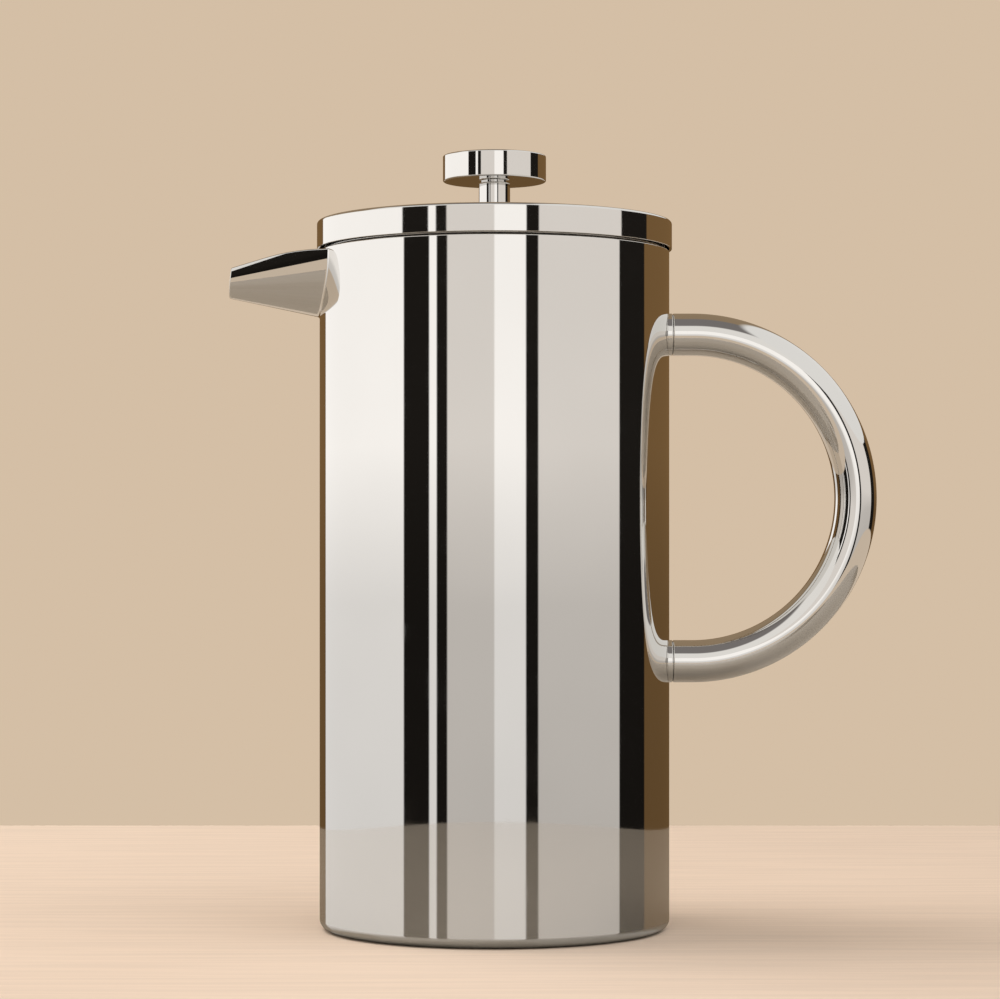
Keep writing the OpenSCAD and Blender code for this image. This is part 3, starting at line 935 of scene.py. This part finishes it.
def build_coil():
    """Long spring bent into a ring: a wire wound around the ring's centre line."""
    wire_r = 0.38 * MM
    winding_r = (COIL_HIGH_Z - COIL_LOW_Z) / 2
    ring_r = COIL_OUT_R - winding_r
    ring_z = (COIL_HIGH_Z + COIL_LOW_Z) / 2
    turns, per_turn, sides = 210, 14, 7
    total = turns * per_turn
    line_r = winding_r - wire_r
    t = np.arange(total) / total * 2 * math.pi
    wind = t * turns
    outward = np.stack([np.cos(t), np.sin(t), 0 * t], 1)
    spoke = np.cos(wind)[:, None] * outward + np.sin(wind)[:, None] * UP
    line = ring_r * outward + line_r * spoke + ring_z * UP
    along = unit(np.roll(line, -1, 0) - np.roll(line, 1, 0))
    first = unit(spoke - (spoke * along).sum(1)[:, None] * along)
    second = np.cross(along, first)
    verts, normals = [], []
    angles = [2 * math.pi * k / sides for k in range(sides)]
    for i in range(total):
        for a in angles:
            n = math.cos(a) * first[i] + math.sin(a) * second[i]
            verts.append(line[i] + wire_r * n)
            normals.append(n)
    faces = grid_faces(total, sides, wrap_rows=True, wrap_columns=True)
    return add_mesh("coil_wire", verts, faces, vertex_normals=normals)


def build_mesh_disc():
    thick = 0.3 * MM
    fold = 1.8 * MM
    piece, _ = lathe("woven_disc", [
        (EYELET_BARREL_R, MESH_Z),
        (SCREEN_R, MESH_Z, 1.0 * MM),
        (SCREEN_R, MESH_TOP_Z, 0.6 * MM),
        (SCREEN_R - fold, MESH_TOP_Z),
        (SCREEN_R - fold, MESH_TOP_Z - thick),
        (SCREEN_R - thick, MESH_TOP_Z - thick, 0.3 * MM),
        (SCREEN_R - thick, MESH_Z + thick, 0.7 * MM),
        (EYELET_BARREL_R, MESH_Z + thick),
    ], around=320)
    return piece


def build_eyelet():
    eye_r, eye_lo, eye_hi = reach("mesh_eyelet")
    flange_t = 0.3 * MM
    piece, _ = lathe("mesh_grommet", [
        (SPIRAL_HOLE_R, eye_lo, 0.1 * MM),
        (eye_r, eye_lo, 0.14 * MM),
        (eye_r, eye_lo + flange_t, 0.1 * MM),
        (EYELET_BARREL_R, eye_lo + flange_t),
        (EYELET_BARREL_R, eye_hi - flange_t),
        (eye_r, eye_hi - flange_t, 0.1 * MM),
        (eye_r, eye_hi, 0.14 * MM),
        (SPIRAL_HOLE_R, eye_hi, 0.1 * MM),
    ], around=128)
    return piece


def keep_cad(node, body, look, edge):
    """A CAD node shown as it is, with softened edges."""
    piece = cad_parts[node]
    piece.data.materials.clear()
    piece.data.materials.append(look)
    soft = piece.modifiers.new("edges", "BEVEL")
    soft.width = edge
    soft.segments = 3
    soft.limit_method = "ANGLE"
    soft.angle_limit = math.radians(40)
    soft.harden_normals = True
    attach(piece, body)
    return piece


def build_object():
    finish_piece(build_shell(), "carafe", ["outer_shell"], POLISHED)
    finish_piece(build_liner(), "carafe", ["inner_liner"], LINER)
    finish_piece(build_base_cover(), "carafe", ["base_cover"], LINER)
    finish_piece(build_spout(), "carafe", ["spout"], POLISHED)
    finish_piece(build_spout_weld(), "carafe", [], POLISHED)
    finish_piece(build_handle(), "carafe", ["handle_tube"], POLISHED)
    for name, node, height in (("upper_collar", "upper_boss", UPPER_Z),
                               ("lower_collar", "lower_boss", LOWER_Z)):
        finish_piece(build_boss(name, node, height), "carafe", [node], POLISHED)
    finish_piece(build_lid_cover(), "lid", ["lid_cover"], POLISHED)
    finish_piece(build_lid_pan(), "lid", ["lid_pan"], LINER)
    finish_piece(build_strainer(), "lid", ["strainer_ring"], LINER)
    finish_piece(build_bush(), "rod_guide", ["lid_bush"], ROD)
    finish_piece(build_clip(), "rod_guide", ["bush_clip"], SPRING)
    finish_piece(build_knob(), "plunger", ["knob"], POLISHED)
    finish_piece(build_neck(), "plunger", ["knob_neck"], POLISHED)
    finish_piece(build_rod(), "plunger", ["plunger_rod"], ROD)
    finish_piece(build_hub(), "plunger", ["rod_hub"], ROD)
    finish_piece(build_spiral_plate(), "screen_pack", ["spiral_plate"], SCREEN)
    finish_piece(build_coil(), "screen_pack", ["coil_spring"], SPRING)
    finish_piece(build_mesh_disc(), "screen_pack", ["filter_mesh"], WOVEN)
    finish_piece(build_eyelet(), "screen_pack", ["mesh_eyelet"], SCREEN)
    keep_cad("cross_plate", "screw_plate", SCREEN, 0.15 * MM)
    keep_cad("cross_hub", "screw_plate", SCREEN, 0.2 * MM)


# ---------------------------------------------------------------- studio

STUDIO_R = 2.0
TABLE_R = 0.41
TABLE_Y = -0.06
FLOOR_SIDE = 1.2
FLOOR_FRONT = -1.2
FLOOR_BACK = 0.349
FLOOR_Z_GAP = 0.0002
FLOOR_TONE = (0.86, 0.70, 0.57)
# painted shade: the table that only reflections see is a darker copy of the floor's wood tone
SHADED_TABLE_TONE = (0.36, 0.32, 0.27)

# name, size, power, place
LAMPS = (("soft_lamp", 0.9, 8.8, (-0.55, 0.15, 1.1)), ("fill_lamp", 1.2, 3.6, (0.5, -0.45, 1.1)))
LAMP_COLOUR = (1.0, 0.97, 0.93)

# colours of the world: what the camera sees, then what reflections see past the panels
BACKDROP = (0.66, 0.52, 0.38)
UNDER = (0.30, 0.25, 0.19)
AROUND = (0.86, 0.84, 0.81)
CEILING = (0.20, 0.185, 0.18)
BEHIND = (0.30, 0.22, 0.14)
HANDLE_SIDE = (0.84, 0.83, 0.81)

CAMERA_PLACE = (0.00166, -0.8965, 0.1096)
CAMERA_LENS = 107.27
CAMERA_SHIFT = 0.0633


def linear(value):
    return value / 12.92 if value <= 0.04045 else ((value + 0.055) / 1.055) ** 2.4


def glow_look(name):
    """Material that gives out the colour painted on its mesh."""
    look = bpy.data.materials.new(name)
    look.use_nodes = True
    tree = look.node_tree
    tree.nodes.clear()
    read = tree.nodes.new("ShaderNodeAttribute")
    read.attribute_name = "glow"
    glow = tree.nodes.new("ShaderNodeEmission")
    tree.links.new(read.outputs["Color"], glow.inputs["Color"])
    out = tree.nodes.new("ShaderNodeOutputMaterial")
    tree.links.new(glow.outputs[0], out.inputs["Surface"])
    return look


# Tones of the studio as the steel shows them.
WHITE = (0.95, 0.94, 0.93)
PALE = (0.82, 0.80, 0.78)
DARK = (0.10, 0.09, 0.08)
WARM = (0.42, 0.32, 0.20)
BELOW = (0.75, 0.69, 0.62)
STEEL_TONE = 0.80

# Soft panels and dark flags around the table, by their first azimuth in degrees: 0 is behind the
# camera, negative is towards the spout's side.
PANELS = ((-180, WARM), (-145, WHITE), (-60, DARK), (-42, WHITE), (-37, DARK), (-30, PALE), (0, WHITE),
          (20, DARK), (28, PALE), (88, DARK), (114, WARM))
PANEL_EDGE = 1.0


def light_of(tone):
    """Light that the steel shows as this tone."""
    return np.array([linear(part) for part in tone]) / STEEL_TONE


def panel_light(azimuth):
    """Light from this azimuth, blended over the panels' soft edges."""
    light = light_of(PANELS[0][1])
    for start, tone in PANELS[1:]:
        share = min(max((azimuth - start) / PANEL_EDGE + 0.5, 0), 1)
        light = light * (1 - share) + light_of(tone) * share
    return light


def glowing(name, verts, faces, colours):
    """A surface that glows as painted and that only reflections see."""
    mesh = bpy.data.meshes.new(name)
    mesh.from_pydata(verts, [], faces)
    paint = mesh.color_attributes.new("glow", "FLOAT_COLOR", "POINT")
    paint.data.foreach_set("color", np.array(colours, np.float32).ravel())
    mesh.materials.append(glow_look(name))
    surface = bpy.data.objects.new(name, mesh)
    bpy.context.scene.collection.objects.link(surface)
    surface.visible_camera = False
    surface.visible_shadow = False


def build_walls():
    """Ring of soft panels and dark flags around the table, a little darker lower down."""
    # height, share of the panels' light, share of the plain tone below the table
    rows = ((-1.6, 0, 1), (-0.16, 0, 1), (-0.145, 0.7, 0), (0.07, 0.75, 0), (0.22, 1, 0), (0.75, 1, 0))
    columns = 1440
    azimuths = [-180 + 360 * k / columns for k in range(columns)]
    lights = [panel_light(a) for a in azimuths]
    verts, colours = [], []
    for height, share, below in rows:
        for azimuth, light in zip(azimuths, lights):
            a = math.radians(azimuth)
            verts.append((STUDIO_R * math.sin(a), -STUDIO_R * math.cos(a), height))
            colours.append((*(light * share + light_of(BELOW) * below), 1.0))
    glowing("studio_panels", verts, grid_faces(len(rows), columns, wrap_columns=True), colours)


def build_table():
    """The table top that reflections see, out to its edge, in painted shade: a darker copy of the floor's
    wood.
    """
    around = 128
    turns = [2 * math.pi * k / around for k in range(around)]
    verts = [(TABLE_R * math.cos(a), TABLE_Y + TABLE_R * math.sin(a), -FLOOR_Z_GAP / 2) for a in turns]
    mesh = bpy.data.meshes.new("table_top")
    mesh.from_pydata(verts, [], [tuple(range(around))])
    mesh.materials.append(pale_floor("shaded_table_sheen", SHADED_TABLE_TONE, 0.12, 0.6))
    table = bpy.data.objects.new("table_top", mesh)
    bpy.context.scene.collection.objects.link(table)
    table.visible_camera = False
    table.visible_shadow = False
    table.visible_diffuse = False


def pale_floor(name, tone, rough, gloss):
    n = Nodes(name)
    x, y, z = n.parts()
    grain_at = n.vector(n.math("MULTIPLY", x, 2.0), n.math("MULTIPLY", y, 40.0), z)
    grain = n.noise(6.0, 5.0, grain_at, 0.4)
    base = n.mix(n.ramp(grain, 0.3, 0.7, 0.0, 1.0), tone, tuple(0.92 * part for part in tone))
    n.link(base, n.shader.inputs["Base Color"])
    n.shader.inputs["Roughness"].default_value = rough
    n.shader.inputs["Specular IOR Level"].default_value = gloss
    return n.material


def build_floor():
    """The table top as the camera sees it."""
    corners = [(x, y, -FLOOR_Z_GAP) for y in (FLOOR_FRONT, FLOOR_BACK) for x in (-FLOOR_SIDE, FLOOR_SIDE)]
    mesh = bpy.data.meshes.new("studio_floor")
    mesh.from_pydata(corners, [], [(0, 1, 3, 2)])
    mesh.materials.append(pale_floor("pale_floor", FLOOR_TONE, 0.6, 0.3))
    floor = bpy.data.objects.new("studio_floor", mesh)
    floor.visible_glossy = False
    bpy.context.scene.collection.objects.link(floor)


def build_lamps():
    """A broad soft lamp above and to the left, and a weaker one in front to the right."""
    target = Vector((0, 0, 0.02))
    for name, size, power, place in LAMPS:
        lamp = bpy.data.lights.new(name, "AREA")
        lamp.shape = "DISK"
        lamp.size = size
        lamp.energy = power
        lamp.color = LAMP_COLOUR
        holder = bpy.data.objects.new(name, lamp)
        holder.location = place
        holder.rotation_euler = (target - holder.location).to_track_quat("-Z", "Y").to_euler()
        holder.visible_glossy = False
        bpy.context.scene.collection.objects.link(holder)


def build_world():
    """Pale backdrop for the camera; for reflections a bright band below a grey ceiling, warm behind."""
    world = bpy.data.worlds.new("studio")
    world.use_nodes = True
    tree = world.node_tree
    tree.nodes.clear()

    def add(kind, **settings):
        node = tree.nodes.new(kind)
        for key, value in settings.items():
            setattr(node, key, value)
        return node

    def share(axis, low, high):
        node = add("ShaderNodeMapRange", interpolation_type="SMOOTHSTEP")
        tree.links.new(split.outputs[axis], node.inputs["Value"])
        node.inputs["From Min"].default_value = low
        node.inputs["From Max"].default_value = high
        return node.outputs[0]

    def mix(factor, first, second):
        node = add("ShaderNodeMix", data_type="RGBA")
        tree.links.new(factor, node.inputs[0])
        if isinstance(first, tuple):
            node.inputs[6].default_value = (*first, 1)
        else:
            tree.links.new(first, node.inputs[6])
        node.inputs[7].default_value = (*second, 1)
        return node.outputs[2]

    place = add("ShaderNodeTexCoord")
    split = add("ShaderNodeSeparateXYZ")
    tree.links.new(place.outputs["Generated"], split.inputs[0])
    light = mix(share("Z", 0.02, 0.16), UNDER, AROUND)
    light = mix(share("Z", 0.66, 0.74), light, CEILING)
    light = mix(share("Y", -0.06, 0.10), light, BEHIND)
    light = mix(share("X", 0.30, 0.36), light, HANDLE_SIDE)
    around = add("ShaderNodeBackground")
    tree.links.new(light, around.inputs["Color"])
    seen = add("ShaderNodeBackground")
    seen.inputs["Color"].default_value = (*BACKDROP, 1)
    path = add("ShaderNodeLightPath")
    pick = add("ShaderNodeMixShader")
    out = add("ShaderNodeOutputWorld")
    tree.links.new(path.outputs["Is Camera Ray"], pick.inputs[0])
    tree.links.new(around.outputs[0], pick.inputs[1])
    tree.links.new(seen.outputs[0], pick.inputs[2])
    tree.links.new(pick.outputs[0], out.inputs["Surface"])
    bpy.context.scene.world = world


def build_camera():
    lens = bpy.data.cameras.new("camera")
    lens.lens = CAMERA_LENS
    lens.sensor_width = 36.0
    lens.shift_y = CAMERA_SHIFT
    camera = bpy.data.objects.new("camera", lens)
    camera.location = CAMERA_PLACE
    camera.rotation_euler = (math.radians(90), 0, 0)
    bpy.context.scene.collection.objects.link(camera)
    bpy.context.scene.camera = camera


build_object()
build_walls()
build_table()
build_floor()
build_lamps()
build_world()
build_camera()
bpy.context.scene.view_settings.view_transform = "Standard"
